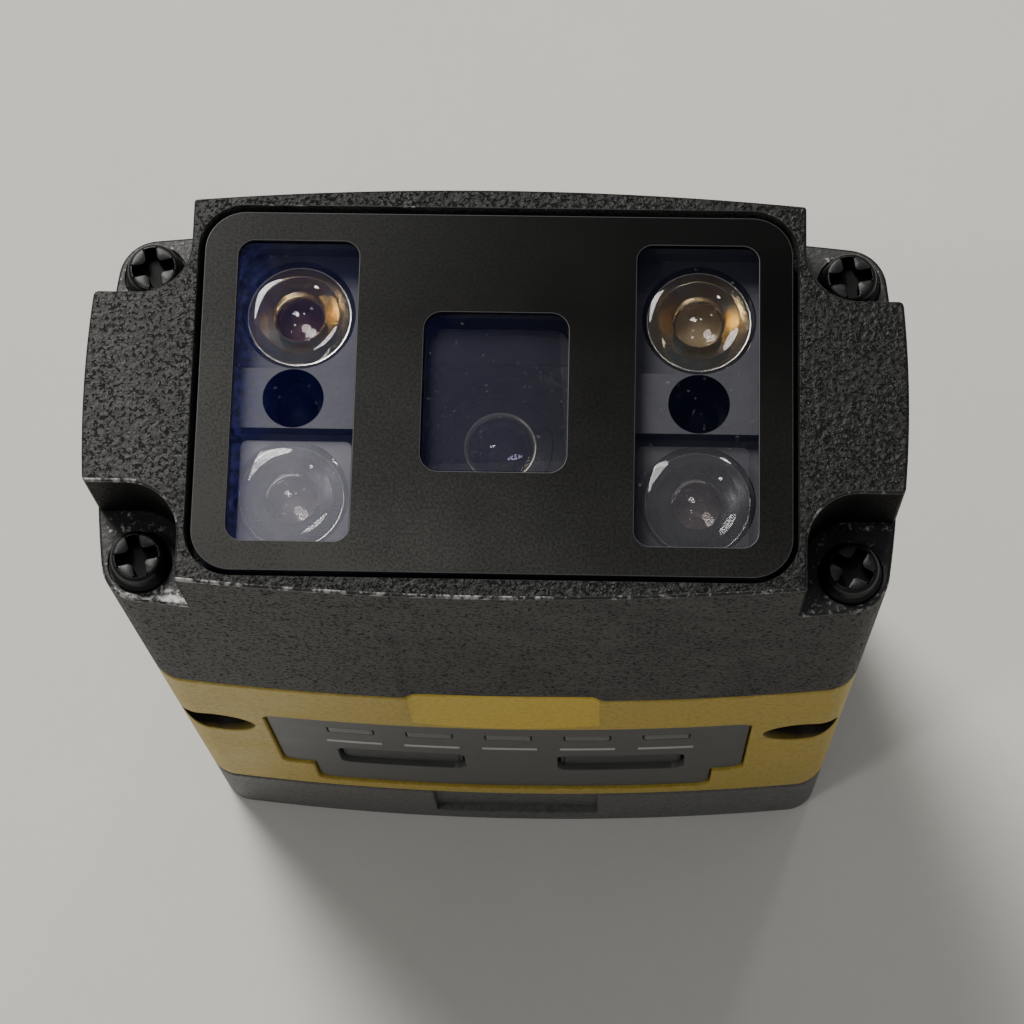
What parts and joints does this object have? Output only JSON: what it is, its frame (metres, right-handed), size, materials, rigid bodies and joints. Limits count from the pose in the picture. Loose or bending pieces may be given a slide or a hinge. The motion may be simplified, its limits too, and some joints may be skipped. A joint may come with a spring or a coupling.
{
  "type": "fixed barcode reader",
  "caption": "Compact fixed code reader: black front housing with a lit window, yellow middle cover with a label panel and press keys, grey rear cover with round sockets.",
  "frame": {"origin": "middle of the rear face that the reader stands on", "axes": "+Z along the optical axis from the rear face to the window, +X across the width, -Y out of the label face with the keys"},
  "size_m": [0.043, 0.0224, 0.064],
  "materials": {
    "housing_black": "fine leather-grain black paint",
    "cover_yellow": "satin ochre-yellow paint",
    "cover_grey": "satin dark grey paint",
    "seal_rubber": "matt black rubber",
    "pane_glass": "clear coated window",
    "mask_film": "matt printed film",
    "polariser_film": "grey polarising film",
    "carrier_plastic": "moulded dark plastic",
    "lens_clear": "clear moulded lens",
    "emitter_gold": "domed light emitter",
    "aimer_brass": "blackened barrel",
    "board_green": "circuit board",
    "small_screw_steel": "zinc plated",
    "optic_black": "matt black anodised",
    "element_glass": "coated glass",
    "sensor_dark": "sensor package",
    "flex_orange": "flat flex",
    "connector_ivory": "moulded connector",
    "chassis_metal": "plain",
    "chip_black": "moulded package",
    "label_grey": "matt overlay",
    "light_pipe_white": "milky translucent",
    "diode_white": "chip diode",
    "switch_grey": "key switch",
    "key_dark": "matt key cap",
    "shell_screw_black": "black oxide",
    "socket_nickel": "nickel plated",
    "insert_black": "moulded insert",
    "contact_gold": "gold plated"
  },
  "bodies": {
    "reader": {"front_housing": "housing_black", "window_gasket": "seal_rubber", "window_pane": "pane_glass", "window_mask": "mask_film", "camera_polariser": "polariser_film", "left_polariser": "polariser_film", "right_polariser": "polariser_film", "light_carrier": "carrier_plastic", "upper_left_lens": "lens_clear", "upper_right_lens": "lens_clear", "lower_left_lens": "lens_clear", "lower_right_lens": "lens_clear", "upper_left_emitter": "emitter_gold", "upper_right_emitter": "emitter_gold", "lower_left_emitter": "emitter_gold", "lower_right_emitter": "emitter_gold", "left_aimer": "aimer_brass", "right_aimer": "aimer_brass", "light_board": "board_green", "light_board_screws": "small_screw_steel", "lens_barrel": "optic_black", "front_element": "element_glass", "retaining_ring": "optic_black", "lock_ring": "optic_black", "lens_holder": "optic_black", "image_sensor": "sensor_dark", "sensor_board": "board_green", "sensor_board_screws": "small_screw_steel", "light_flex": "flex_orange", "sensor_connector": "connector_ivory", "chassis": "chassis_metal", "processor_board": "board_green", "processor": "chip_black", "heat_spreader": "chassis_metal", "power_board": "board_green", "beeper": "chip_black", "stack_connector": "connector_ivory", "power_header": "connector_ivory", "socket_board": "board_green", "middle_cover": "cover_yellow", "label_panel": "label_grey", "light_pipe": "light_pipe_white", "indicator_chips": "diode_white", "key_board": "board_green", "key_board_screws": "small_screw_steel", "trigger_switch": "switch_grey", "tune_switch": "switch_grey", "front_seal": "seal_rubber", "rear_seal": "seal_rubber", "rear_cover": "cover_grey", "front_screws": "shell_screw_black", "rear_screws": "shell_screw_black", "network_shell": "socket_nickel", "power_shell": "socket_nickel", "network_insert": "insert_black", "power_insert": "insert_black", "network_contacts": "contact_gold", "power_contacts": "contact_gold"},
    "trigger_key_body": {"trigger_key": "key_dark"},
    "tune_key_body": {"tune_key": "key_dark"}
  },
  "joints": [
    {"name": "trigger_press", "type": "slide", "parent": "reader", "child": "trigger_key_body", "axis": [0, 1, 0], "range_m": [0, 0.0003], "stiffness_N_per_m": 4000},
    {"name": "tune_press", "type": "slide", "parent": "reader", "child": "tune_key_body", "axis": [0, 1, 0], "range_m": [0, 0.0003], "stiffness_N_per_m": 4000}
  ]
}
